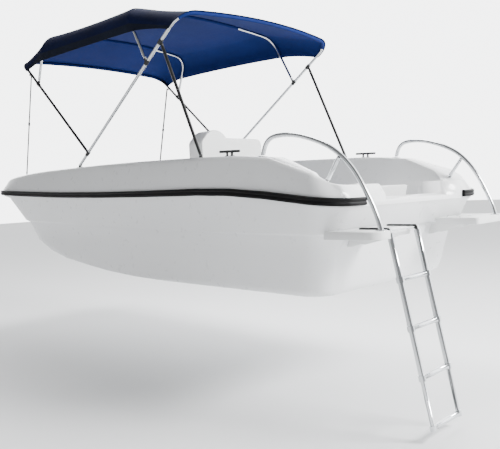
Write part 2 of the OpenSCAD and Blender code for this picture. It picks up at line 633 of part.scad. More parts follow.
eye_start = 26;
module main_bow() color("#c8cbce") in_leg_frame(hinge_pt, main_angle) {
  bow(main_leg, eye_start);
  both_legs() eye_end(eye_start);
}
module front_bow() color("#2a2b2e") in_leg_frame(front_pt, front_angle) {
  bow(front_leg, eye_start);
  both_legs() eye_end(eye_start);
}
module aft_middle_bow() color("#2a2b2e") in_leg_frame(aft_mid_pt, aft_mid_angle) {
  bow(aft_mid_leg, eye_start);
  both_legs() eye_end(eye_start);
}
module forward_middle_bow() color("#2a2b2e") in_leg_frame(fwd_mid_pt, fwd_mid_angle) {
  bow(fwd_mid_leg, eye_start);
  both_legs() eye_end(eye_start);
}

// A jaw: a sleeve round the carrying tube with a fork at its side, pinned or open
module jaw(at, side, pinned) translate([0, 0, at]) {
  difference() {
    union() {
      translate([0, 0, -22]) cylinder(h = 44, r = tube_r + 4.5);
      for (s = [-1, 1]) translate([side * jaw_off, s * (fork_in + fork_t / 2), 0]) rotate([90, 0, 0])
        linear_extrude(fork_t, center = true) union() {
          circle(9);
          translate([side > 0 ? -jaw_off + 6 : 0, -9]) square([jaw_off - 6, 18]);
        }
    }
    cylinder(h = 50, r = tube_r + fit, center = true);
    translate([side * jaw_off, 0, 0]) rotate([90, 0, 0]) cylinder(h = 40, r = pin_r + fit, center = true);
    translate([side * jaw_off, 0, 0]) rotate([90, 0, 0])
      cylinder(h = 2 * fork_in, r = eye_r + 0.6, center = true);
  }
  if (pinned) translate([side * jaw_off, 0, 0]) rotate([90, 0, 0]) cylinder(h = 18, r = pin_r, center = true);
}
module main_bow_jaws() color("#1c1d1f") in_leg_frame(hinge_pt, main_angle) both_legs() {
  jaw(front_at, 1, true);
  jaw(aft_mid_at, 1, true);
  jaw(brace_at, -1, false);
}
module front_bow_jaws() color("#1c1d1f") in_leg_frame(front_pt, front_angle) both_legs()
  jaw(fwd_mid_at, -1, true);

module rear_braces() color("#c8cbce") in_leg_frame(brace_foot, brace_angle) both_legs() {
  translate([0, 0, eye_start]) cylinder(h = brace_len - 2 * eye_start, r = tube_r);
  eye_end(eye_start);
  translate([0, 0, brace_len]) mirror([0, 0, 1]) eye_end(eye_start);
}

// ---- canopy cloth: a closed sheet over the four bows ----
cloth_gap = 1.4;
mid_drop = 95;                            // cloth below the middle bows' corners
function cloth_row(p, a, leg, drop, off, shift) = [for (q = whole_section(leg, drop))
  [p[0] + q[1] * cos(a) + shift, q[0] + off * q[2], p[1] + q[1] * sin(a) + off * q[3]]];
function cloth_rows(off) = [
  cloth_row(hinge_pt, main_angle, main_leg, 40, off, -20),
  cloth_row(hinge_pt, main_angle, main_leg, 40, off, 0),
  cloth_row(aft_mid_pt, aft_mid_angle, aft_mid_leg, mid_drop, off, 0),
  cloth_row(fwd_mid_pt, fwd_mid_angle, fwd_mid_leg, mid_drop, off, 0),
  cloth_row(front_pt, front_angle, front_leg, 40, off, 0),
  cloth_row(front_pt, front_angle, front_leg, 40, off, 22)
];
function between(a, b, s) = [for (i = [0:len(a) - 1]) a[i] * (1 - s) + b[i] * s];
cloth_steps = [1, 4, 5, 4, 1];
function fine_rows(rows) = concat(
  [for (k = [0:len(rows) - 2], s = [0:cloth_steps[k] - 1]) between(rows[k], rows[k + 1], s / cloth_steps[k])],
  [rows[len(rows) - 1]]
);
module canopy_cloth() color("#1f3fa0") {
  outer = fine_rows(cloth_rows(tube_r + cloth_gap + cloth_t));
  inner = fine_rows(cloth_rows(tube_r + cloth_gap));
  rows = len(outer);
  m = len(outer[0]);
  // each row is a closed loop: out along the upper side, back along the lower side
  loops = [for (k = [0:rows - 1]) concat(outer[k], [for (i = [m - 1:-1:0]) inner[k][i]])];
  skin_through(loops, sheet = true);
}

// ---- front straps: upper half hangs from the front bow, lower half stands on the deck eye ----
strap_w = 25;
strap_t = 2;
strap_y = bow_half - tube_r - 4;
strap_eye_x = nose_x - 135;
strap_eye = [strap_eye_x, seat_at(strap_eye_x, strap_y)[0] + 22];
strap_vec = strap_eye - strap_pt;
strap_len = norm(strap_vec);
strap_angle = atan2(strap_vec[1], strap_vec[0]);
buckle_half = 30;
module strap_band(from, to) for (s = [-1, 1]) translate([0, s * strap_y, 0])
  translate([-strap_w / 2, -strap_t / 2, from]) cube([strap_w, strap_t, to - from]);
module strap_upper() color("#1c1d1f") in_leg_frame(strap_pt, strap_angle)
  strap_band(10, strap_len / 2 - buckle_half);
// The lower strap ends in a hook: a round pin through the deck eye between two cheeks
hook_in = 3.2;
hook_t = 2.4;
module strap_lower() color("#1c1d1f") in_leg_frame(strap_eye, strap_angle + 180) {
  strap_band(18, strap_len / 2 - 0.5);
  for (s = [-1, 1]) translate([0, s * strap_y, 0]) {
    rotate([90, 0, 0]) cylinder(h = 2 * (hook_in + hook_t), r = 3.5, center = true);
    for (t = [-1, 1]) translate([-5, t * (hook_in + hook_t / 2) - hook_t / 2, 0]) cube([10, hook_t, 18]);
    translate([-9, -hook_in - hook_t, 12]) cube([18, 2 * (hook_in + hook_t), 7]);
  }
}
module strap_buckles() color("#1c1d1f") in_leg_frame(strap_pt, strap_angle) for (s = [-1, 1]) {
  translate([-strap_w / 2 - 4, s * strap_y - 4, strap_len / 2 - buckle_half + gap])
    cube([strap_w + 8, 8, buckle_half - gap]);
  // the loop that holds the strap on the bow
  translate([0, s * (bow_half + strap_y) / 2, 0]) rotate([90, 0, 0])
    cylinder(h = bow_half - strap_y + 8, r = strap_loop_r, center = true);
}
eye_lift = 1.7;
module strap_deck_eyes() color("#c8cbce") for (s = [-1, 1]) {
  on_deck(strap_eye_x, s * strap_y, eye_lift) cylinder(h = 3.4, r = 12);
  translate([strap_eye[0], s * strap_y, strap_eye[1] - 20]) cylinder(h = 14, r = 3);
  translate([strap_eye[0], s * strap_y, strap_eye[1]]) rotate([90, 0, 0])
    rotate_extrude() translate([7, 0]) circle(2.5, $fn = 24);
}

// ---- stern platforms ----
platform_aft = stern_x - platform_len + 90;
platform_fore = stern_x + 130;
platform_in = sill_half - 20;
platform_out = rail_half - 66;
notch_aft = platform_aft + 72;            // aft edge beside the ladder
platform_corner = 90;
// Outline of the hull where the platform meets it
upper_chine = hull_levels[9];
below_rail = hull_levels[10];
platform_share = (platform_z - chine_z(stern_x) - upper_chine[1])
  / (rail_z(stern_x) + below_rail[1] - chine_z(stern_x) - upper_chine[1]);
hull_aft_there = upper_chine[2] + (below_rail[2] - upper_chine[2]) * platform_share;
hull_at_platform = outline(hull_aft_there - gap, bow_reach,
  upper_chine[4] + (below_rail[4] - upper_chine[4]) * platform_share + gap, lower_corner + gap,
  hull_aft_there + lower_corner);
ladder_in = 398;
ladder_out = ladder_in + ladder_w;
module platform(notch) difference() {
  translate([0, 0, platform_z - platform_t]) linear_extrude(platform_t) difference() {
    union() {
      translate([platform_aft, platform_in + 30])
        square([platform_fore - platform_aft, platform_out - platform_in - 30 - platform_corner]);
      translate([platform_aft + platform_corner, platform_in + 60])
        square([platform_fore - platform_aft - platform_corner, platform_out - platform_in - 60]);
      translate([platform_aft + 30, platform_in])
        square([platform_fore - platform_aft - 30, platform_out - platform_in - platform_corner]);
      translate([platform_aft + platform_corner, platform_out - platform_corner]) circle(platform_corner);
      translate([platform_aft + 30, platform_in + 30]) circle(30);
    }
    polygon(hull_at_platform);
    if (notch) translate([platform_aft - 50, platform_in - 10])
      square([notch_aft - platform_aft + 50, ladder_out + 34 - platform_in + 10]);
  }
}
module platform_port() color("#d9dadb") platform(true);
module platform_starboard() color("#ececee") mirror([0, 1, 0]) platform(false);

// The transom leans aft as it rises
lower_aft = hull_levels[6];
upper_aft = hull_levels[7];
bottom_aft = hull_levels[4];
function transom_x(z) = bottom_aft[2] + (lower_aft[2] - bottom_aft[2])
  * (z - bottom_aft[1]) / (lower_aft[1] - bottom_aft[1]);
bracket_low = 310;
bracket_ys = [platform_in + 50, platform_in + 210];
bracket_top = platform_z - platform_t - gap;
module platform_brackets() color("#b9bcc0") for (s = [-1, 1], y = bracket_ys)
  translate([0, s * y, 0]) rotate([90, 0, 0]) linear_extrude(8, center = true)
    polygon([[transom_x(bracket_low) - gap, bracket_low], [upper_aft[2] - gap - 2, bracket_top - 6],
             [upper_aft[2] - gap - 2, bracket_top], [notch_aft + 60, bracket_top],
             [notch_aft + 60, bracket_top - 10], [transom_x(bracket_low) - 30, bracket_low]]);

bolt_xs = [notch_aft + 90, notch_aft + 190];
module platform_bolts() color("#b9bcc0") for (s = [-1, 1], y = bracket_ys, x = bolt_xs)
  translate([x, s * (y + 16), 0]) {
    translate([0, 0, platform_z + gap]) cylinder(h = 4, r = 8);
    translate([0, 0, platform_z - platform_t - gap - 7]) cylinder(h = 7, r = 8, $fn = 6);
  }

// ---- handrails: a tube swept along a smooth curve through chosen points, with a strut ----
rail_r = handrail_d / 2;
rail_front_x = stern_x + 657;
rail_aft_x = platform_aft + 43;
rail_y = rail_half - 134;
rail_foot_y = rail_half - 186;
foot_h = 5;
rail_top_z = 1038;
rail_base = platform_z + foot_h + gap;
rail_run = rail_front_x - rail_aft_x;
// [share of the run aft, height, share of the way from the front line to the foot line]
rail_points = [[0, seat_at(rail_front_x, rail_y)[0] + foot_h + 3], [0.034, 992], [0.10, 1031], [0.22, rail_top_z],
               [0.36, 1020], [0.54, 966], [0.68, 896], [0.80, 790], [0.90, 650], [0.965, 530], [1, rail_base]];
function rail_point(k) = let (q = rail_points[k]) [rail_front_x - rail_run * q[0],
  rail_y + (rail_foot_y - rail_y) * q[0], q[1]];
last_point = len(rail_points) - 1;
function spline(p0, p1, p2, p3, t) = 0.5 * (2 * p1 + (p2 - p0) * t + (2 * p0 - 5 * p1 + 4 * p2 - p3) * t * t
  + (3 * p1 - p0 - 3 * p2 + p3) * t * t * t);
spline_steps = 4;
function curve_point(k, t) = spline(rail_point(max(k - 1, 0)), rail_point(k), rail_point(k + 1),
  rail_point(min(k + 2, last_point)), t);
rail_curve = concat(
  [for (k = [0:last_point - 1], j = [0:spline_steps - 1]) curve_point(k, j / spline_steps)],
  [rail_point(last_point)]
);
rail_sides = 12;
strut_r = 12.5;
strut_top = [stern_x + 66, rail_y - 30, 866];
strut_xy = [stern_x + 166, rail_half - 166];
strut_disc = 5;
strut_lift = 2.4;                         // the deck is hollow under the strut's disc
strut_up = [-0.452, -0.415, 0.79];        // leans aft and inwards with the coaming
strut_foot = [strut_xy[0], strut_xy[1], seat_at(strut_xy[0], strut_xy[1])[0]];
module handrail() {
  swept_tube(rail_curve, rail_r, [0, 1, 0], [0, 0, 1], [0, 0, -1], rail_sides);
  bar(strut_foot + strut_up * (strut_disc + strut_lift + 8.6), strut_top, strut_r);
}
module handrail_port() color("#c8cbce") handrail();
module handrail_starboard() color("#c8cbce") mirror([0, 1, 0]) handrail();
module handrail_feet() color("#c8cbce") for (s = [0, 1]) mirror([0, s, 0]) {
  on_deck(rail_front_x, rail_y) cylinder(h = foot_h - 1, r = rail_r + 18);
  translate([rail_aft_x, rail_foot_y, platform_z + gap]) cylinder(h = foot_h - gap, r = rail_r + 18);
  bar(strut_foot + strut_up * strut_lift, strut_foot + strut_up * (strut_lift + strut_disc), strut_r + 4);
}

// ---- ladder ----
ladder_hinge = [platform_aft + 30, platform_z - 4];
ladder_dir = 270 - ladder_lean;           // angle of the lowered ladder in the XZ plane
first_rung = 305;
overlap = 36;
collar_h = 34;
function section_r(k) = ladder_tube_r - (k - 1) * (ladder_wall + ladder_play);
ladder_mid = ladder_in + ladder_w / 2;
module in_ladder_frame() translate([ladder_hinge[0], ladder_mid, ladder_hinge[1]])
  rotate([0, 90 - ladder_dir, 0]) children();
module ladder_tubes(from, to, r, inner) for (s = [-1, 1]) translate([0, s * ladder_w / 2, from])
  difference() {
    cylinder(h = to - from, r = r);
    translate([0, 0, -1]) cylinder(h = to - from + 2, r = inner);
  }
function rung_at(k) = first_rung + (k - 1) * rung_step;
module ladder_rung(k) {
  r = section_r(k);
  bore = k < 4 ? section_r(k + 1) + ladder_play : 0;
  difference() {
    union() {
      for (s = [-1, 1]) translate([0, s * ladder_w / 2, rung_at(k) - collar_h]) cylinder(h = collar_h, r = r + 5);
      translate([0, 0, rung_at(k) - collar_h / 2]) rotate([90, 0, 0])
        cylinder(h = ladder_w, r = collar_h / 2 - 2, center = true);
    }
    for (s = [-1, 1]) translate([0, s * ladder_w / 2, rung_at(k) - collar_h - 1])
      cylinder(h = collar_h + 2, r = k < 4 ? bore : 4);
  }
}
module ladder_section(k) {
  r = section_r(k);
  inner = r - ladder_wall;
  from = k == 1 ? 24 : rung_at(k - 1) - overlap;
  difference() {
    union() {
      ladder_tubes(from, rung_at(k), r, inner);
      ladder_rung(k);
    }
    if (k < 4) for (s = [-1, 1]) translate([0, s * ladder_w / 2, rung_at(k) - collar_h - 2])
      cylinder(h = collar_h + 4, r = section_r(k + 1) + ladder_play);
  }
}
ladder_eye_w = 14;
module ladder_section_1() color("#c8cbce") in_ladder_frame() {
  ladder_section(1);
  for (s = [-1, 1]) translate([0, s * ladder_w / 2, 0]) difference() {
    union() {
      rotate([90, 0, 0]) cylinder(h = ladder_eye_w, r = 14, center = true);
      translate([-14, -ladder_eye_w / 2, 0]) cube([28, ladder_eye_w, 20]);
      translate([0, 0, 16]) cylinder(h = 9, r = section_r(1));
    }
    rotate([90, 0, 0]) cylinder(h = 40, r = 5 + fit, center = true);
  }
}
module ladder_section_2() color("#c8cbce") in_ladder_frame() ladder_section(2);
module ladder_section_3() color("#c8cbce") in_ladder_frame() ladder_section(3);
module ladder_section_4() color("#c8cbce") in_ladder_frame() ladder_section(4);

base_len = 170;
module ladder_base() color("#4a4c50") for (s = [-1, 1])
  translate([ladder_hinge[0], ladder_mid + s * ladder_w / 2, ladder_hinge[1]]) difference() {
    for (t = [-1, 1]) translate([0, t * (ladder_eye_w / 2 + 3.5), 0]) {
      rotate([90, 0, 0]) cylinder(h = 5, r = 13, center = true);
      translate([0, -2.5, 4 + gap]) cube([base_len + 30, 5, 11]);
    }
    rotate([90, 0, 0]) cylinder(h = 60, r = 5 + fit, center = true);
  }
module ladder_pin() color("#c8cbce") translate([ladder_hinge[0], ladder_mid, ladder_hinge[1]])
  rotate([90, 0, 0]) cylinder(h = ladder_w + 44, r = 5, center = true);

hull();
deck();
rub_rail();
buoyancy_foam();
wheel_box();
shaft_bearings();
crankshaft();
paddle_wheel();
pedal_port_inner();
pedal_port_outer();
pedal_starboard_inner();
pedal_starboard_outer();
crank_end_caps();
stock_tube();
rudder();
tiller();
seat_port();
seat_starboard();
bow_bench();
console();
corner_caps();
tow_eye();
deck_cleats();
canopy_deck_hinges();
canopy_hinge_pins();
main_bow();
main_bow_jaws();
front_bow();
front_bow_jaws();
aft_middle_bow();
forward_middle_bow();
rear_braces();
brace_hinges();
canopy_cloth();
strap_upper();
strap_lower();
strap_buckles();
strap_deck_eyes();
platform_port();
platform_starboard();
platform_brackets();
platform_bolts();
handrail_port();
handrail_starboard();
handrail_feet();
ladder_base();
ladder_pin();
ladder_section_1();
ladder_section_2();
ladder_section_3();
ladder_section_4();
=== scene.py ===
import json
import math

import bmesh
import bpy
import numpy as np
from mathutils import Matrix, Vector

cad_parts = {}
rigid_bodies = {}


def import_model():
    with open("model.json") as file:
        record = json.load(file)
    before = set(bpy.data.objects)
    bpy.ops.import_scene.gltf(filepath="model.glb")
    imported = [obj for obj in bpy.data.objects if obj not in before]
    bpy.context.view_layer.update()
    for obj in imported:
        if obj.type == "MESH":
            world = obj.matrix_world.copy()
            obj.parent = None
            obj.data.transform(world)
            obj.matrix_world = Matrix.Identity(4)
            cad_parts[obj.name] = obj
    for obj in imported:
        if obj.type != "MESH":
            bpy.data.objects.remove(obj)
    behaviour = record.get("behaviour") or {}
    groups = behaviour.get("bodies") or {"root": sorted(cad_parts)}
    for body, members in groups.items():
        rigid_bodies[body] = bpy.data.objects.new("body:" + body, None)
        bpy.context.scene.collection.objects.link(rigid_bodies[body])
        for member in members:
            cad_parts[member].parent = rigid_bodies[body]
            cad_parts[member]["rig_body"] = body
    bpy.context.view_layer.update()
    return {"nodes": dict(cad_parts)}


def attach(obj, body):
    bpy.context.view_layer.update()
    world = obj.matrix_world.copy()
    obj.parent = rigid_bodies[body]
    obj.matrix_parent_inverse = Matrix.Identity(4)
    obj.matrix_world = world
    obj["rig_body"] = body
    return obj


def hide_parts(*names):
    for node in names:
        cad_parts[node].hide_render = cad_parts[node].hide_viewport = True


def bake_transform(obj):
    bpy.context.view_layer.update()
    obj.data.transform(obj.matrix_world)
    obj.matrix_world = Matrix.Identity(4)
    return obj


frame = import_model()
nodes = frame["nodes"]
bodyOf = {name: node["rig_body"] for name, node in nodes.items()}
print("frame loaded")


# Materials: each is named for what the real piece is made of, and the canvas's inner face also for the
# light painted on it
def linear(code):  # sRGB hex to linear RGBA
    parts = [int(code[i : i + 2], 16) / 255 for i in (1, 3, 5)]
    return [c / 12.92 if c <= 0.04045 else ((c + 0.055) / 1.055) ** 2.4 for c in parts] + [1.0]


def addNode(tree, kind, settings=None, inputs=None):
    node = tree.nodes.new(kind)
    for key, value in (settings or {}).items():
        setattr(node, key, value)
    for key, value in (inputs or {}).items():
        if isinstance(value, bpy.types.NodeSocket):
            tree.links.new(value, node.inputs[key])
        else:
            node.inputs[key].default_value = value
    return node


waveTurn = 6.28  # one turn; at this scale a wave's bands lie about two weave sizes apart


def finish(name, spec):
    material = bpy.data.materials.new(name)
    material.use_nodes = True
    tree = material.node_tree
    shader = tree.nodes["Principled BSDF"]
    for key, value in spec.get("shader", {}).items():
        shader.inputs[key].default_value = value
    place = addNode(tree, "ShaderNodeTexCoord").outputs["Object"]
    if spec.get("stretch"):
        place = addNode(tree, "ShaderNodeMapping", inputs={
            "Vector": place, "Scale": spec["stretch"]}).outputs[0]
    # broad, slow changes of tone between low and high
    cloud = addNode(tree, "ShaderNodeTexNoise", inputs={
        "Vector": place, "Scale": 1 / spec["patch"], "Detail": 4.0, "Roughness": 0.55}).outputs["Fac"]
    tone = addNode(tree, "ShaderNodeMix", {"data_type": "RGBA"})
    tree.links.new(cloud, tone.inputs[0])
    tone.inputs[6].default_value = linear(spec["low"])
    tone.inputs[7].default_value = linear(spec["high"])
    colour = tone.outputs[2]
    # fine grain that drives both the roughness and the bump
    grain = addNode(tree, "ShaderNodeTexNoise", inputs={
        "Vector": place, "Scale": 1 / spec["grain"], "Detail": 3.0}).outputs["Fac"]
    rough = addNode(tree, "ShaderNodeMapRange", inputs={
        "Value": grain, "To Min": spec["rough"][0], "To Max": spec["rough"][1]}).outputs[0]
    tree.links.new(rough, shader.inputs["Roughness"])
    height = grain
    if "weave" in spec:
        # threads both ways over the cloth's own flat coordinates, a few times coarser than real yarn
        threads = [addNode(tree, "ShaderNodeTexWave", {"bands_direction": d}, {
            "Vector": addNode(tree, "ShaderNodeTexCoord").outputs["UV"],
            "Scale": 1 / spec["weave"] / waveTurn, "Distortion": 0.6}).outputs["Fac"] for d in ("X", "Y")]
        height = addNode(tree, "ShaderNodeMath", {"operation": "MAXIMUM"},
                         {0: threads[0], 1: threads[1]}).outputs[0]
        thread = addNode(tree, "ShaderNodeMix", {"data_type": "RGBA", "blend_type": "MULTIPLY"}, {0: 0.22})
        tree.links.new(colour, thread.inputs[6])
        shade = addNode(tree, "ShaderNodeCombineColor", inputs={
            "Red": height, "Green": height, "Blue": height}).outputs[0]
        tree.links.new(shade, thread.inputs[7])
        colour = thread.outputs[2]
    if "dimple" in spec:
        # anti-slip cells, on the faces that point up only
        cells = addNode(tree, "ShaderNodeTexVoronoi", inputs={
            "Vector": place, "Scale": 1 / spec["dimple"]}).outputs["Distance"]
        upward = addNode(tree, "ShaderNodeSeparateXYZ", inputs={
            0: addNode(tree, "ShaderNodeTexCoord").outputs["Normal"]}).outputs["Z"]
        flat = addNode(tree, "ShaderNodeMapRange", inputs={
            "Value": upward, "From Min": 0.97, "From Max": 0.995}).outputs[0]
        height = addNode(tree, "ShaderNodeMath", {"operation": "MULTIPLY"}, {0: cells, 1: flat}).outputs[0]
    tree.links.new(colour, shader.inputs["Base Color"])
    bump = addNode(tree, "ShaderNodeBump", inputs={
        "Height": height, "Strength": spec["bump"][0], "Distance": spec["bump"][1]})
    tree.links.new(bump.outputs[0], shader.inputs["Normal"])
    return material


# low and high are the colour's two ends; patch, grain and dimple are metres across one mark,
# and weave is half the metres from thread to thread
gelShader = {"Coat Weight": 0.35, "Coat Roughness": 0.12, "IOR": 1.5}
finishes = {
    # moulded and waxed, so it is white with a soft clear shine
    "whiteGelcoat": {"low": "#e0e1e2", "high": "#e9eaeb", "patch": 0.9, "grain": 0.05,
                     "rough": (0.24, 0.34), "bump": (0.04, 0.001), "shader": gelShader},
    # the back of a moulding or a small one, a duller white
    "innerGelcoat": {"low": "#dedfdf", "high": "#e8e9e8", "patch": 0.5, "grain": 0.006,
                     "rough": (0.38, 0.5), "bump": (0.12, 0.0006), "shader": {"IOR": 1.48}},
    # moulded with a pattern underfoot, so it scatters light
    "nonSlipGelcoat": {"low": "#dcdddd", "high": "#e6e7e7", "patch": 0.4, "grain": 0.02, "dimple": 0.006,
                       "rough": (0.4, 0.55), "bump": (0.5, 0.0012), "shader": {"IOR": 1.48}},
    # extruded PVC, black and nearly matt
    "blackVinyl": {"low": "#060607", "high": "#0d0d0e", "patch": 0.25, "grain": 0.012,
                   "rough": (0.45, 0.6), "bump": (0.1, 0.0006), "shader": {"Specular IOR Level": 0.12}},
    # drawn tube, polished, so it mirrors the room in streaks
    "polishedStainless": {"low": "#c3c6c9", "high": "#d9dbdd", "patch": 0.18, "grain": 0.03,
                          "rough": (0.09, 0.2), "bump": (0.03, 0.0003), "shader": {"Metallic": 1.0}},
    # turned bar, finely brushed, a blurred grey mirror
    "brushedStainless": {"low": "#a9acaf", "high": "#c2c4c6", "patch": 0.1, "grain": 0.004,
                         "rough": (0.22, 0.36), "bump": (0.06, 0.0003), "stretch": (1.0, 1.0, 8.0),
                         "shader": {"Metallic": 1.0}},
    # baked powder on tube, an even satin black
    "blackPowderCoat": {"low": "#09090a", "high": "#121314", "patch": 0.12, "grain": 0.003,
                        "rough": (0.32, 0.45), "bump": (0.12, 0.0004), "shader": {"IOR": 1.5}},
    # moulded glass-filled nylon, black and dull
    "blackNylon": {"low": "#0c0c0d", "high": "#161718", "patch": 0.06, "grain": 0.002,
                   "rough": (0.42, 0.58), "bump": (0.15, 0.0003), "shader": {"IOR": 1.5}},
    # the same nylon in grey, for the bushes
    "greyNylon": {"low": "#3d3f42", "high": "#505256", "patch": 0.06, "grain": 0.002,
                  "rough": (0.42, 0.58), "bump": (0.15, 0.0003), "shader": {"IOR": 1.5}},
    # moulded caps, a clean white with a little shine
    "whiteNylon": {"low": "#eeeeec", "high": "#f7f7f6", "patch": 0.05, "grain": 0.003,
                   "rough": (0.3, 0.42), "bump": (0.08, 0.0003), "shader": {"IOR": 1.5}},
    # poured foam, pale yellow and matt
    "closedCellFoam": {"low": "#d9cfa9", "high": "#e6dcb9", "patch": 0.2, "grain": 0.004,
                       "rough": (0.7, 0.9), "bump": (0.5, 0.002)},
    # the canvas's inner face, matt, and a lighter blue than the outer face as painted light that shines
    # through the cloth
    "blueCanvas": {"low": "#111f50", "high": "#182b68", "patch": 0.35, "grain": 0.02, "weave": 0.0012,
                   "rough": (0.72, 0.88), "bump": (0.25, 0.0004), "shader": {"Specular IOR Level": 0.1}},
    # the canvas's outer face, matt and almost black
    "navyCanvas": {"low": "#050b22", "high": "#0a143a", "patch": 0.3, "grain": 0.02, "weave": 0.0012,
                   "rough": (0.72, 0.88), "bump": (0.25, 0.0004), "shader": {"Specular IOR Level": 0.08}},
    # folded and stitched tape along the edges
    "navyBinding": {"low": "#090d19", "high": "#111829", "patch": 0.1, "grain": 0.01, "weave": 0.001,
                    "rough": (0.7, 0.85), "bump": (0.3, 0.0004), "shader": {"Specular IOR Level": 0.1}},
    # woven polyester strap, matt black
    "blackWebbing": {"low": "#111113", "high": "#1d1d20", "patch": 0.05, "grain": 0.002,
                     "rough": (0.6, 0.8), "bump": (0.5, 0.0005)},
    # moulded polyethylene, black with a faint sheen
    "paddlePlastic": {"low": "#151617", "high": "#232426", "patch": 0.15, "grain": 0.01,
                      "rough": (0.35, 0.5), "bump": (0.1, 0.0004)},
    # moulded polyethylene in light grey
    "rudderPlastic": {"low": "#9a9c9f", "high": "#adafb2", "patch": 0.15, "grain": 0.01,
                      "rough": (0.35, 0.5), "bump": (0.1, 0.0004)},
}
mat = {name: finish(name[0].upper() + name[1:], spec) for name, spec in finishes.items()}
print("materials made")


def setMaterial(obj, *names):
    while len(obj.data.materials) < len(names):
        obj.data.materials.append(None)
    for k, name in enumerate(names):
        obj.data.materials[k] = mat[name]


# CAD pieces with softened edges and smooth shading
shellRules = {"weld": 0.00002, "flatten": 0.4, "bevelAngle": 40, "bevelSegments": 3}  # metres, degrees


def softened(node, name, material, slot, bevel, sharpAngle):
    source = nodes[node].data
    mesh = bpy.data.meshes.new(name)
    work = bmesh.new()
    work.from_mesh(source)
    bmesh.ops.remove_doubles(work, verts=work.verts, dist=shellRules["weld"])
    bmesh.ops.dissolve_limit(work, angle_limit=math.radians(shellRules["flatten"]),
                             verts=work.verts, edges=work.edges)
    work.to_mesh(mesh)
    work.free()
    obj = bpy.data.objects.new(name, mesh)
    bpy.context.scene.collection.objects.link(obj)
    if bevel:
        cut = obj.modifiers.new("edges", "BEVEL")
        cut.width = bevel
        cut.segments = shellRules["bevelSegments"]
        cut.limit_method = "ANGLE"
        cut.angle_limit = math.radians(shellRules["bevelAngle"])
        cut.harden_normals = False
        applyModifiers(obj)
    obj.data.shade_smooth()
    obj.data.set_sharp_from_angle(angle=math.radians(sharpAngle))
    setMaterial(obj, material)
    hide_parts(node)
    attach(obj, bodyOf[node])
    return obj


def applyModifiers(obj):
    graph = bpy.context.evaluated_depsgraph_get()
    result = bpy.data.meshes.new_from_object(obj.evaluated_get(graph))
    obj.modifiers.clear()
    obj.data = result


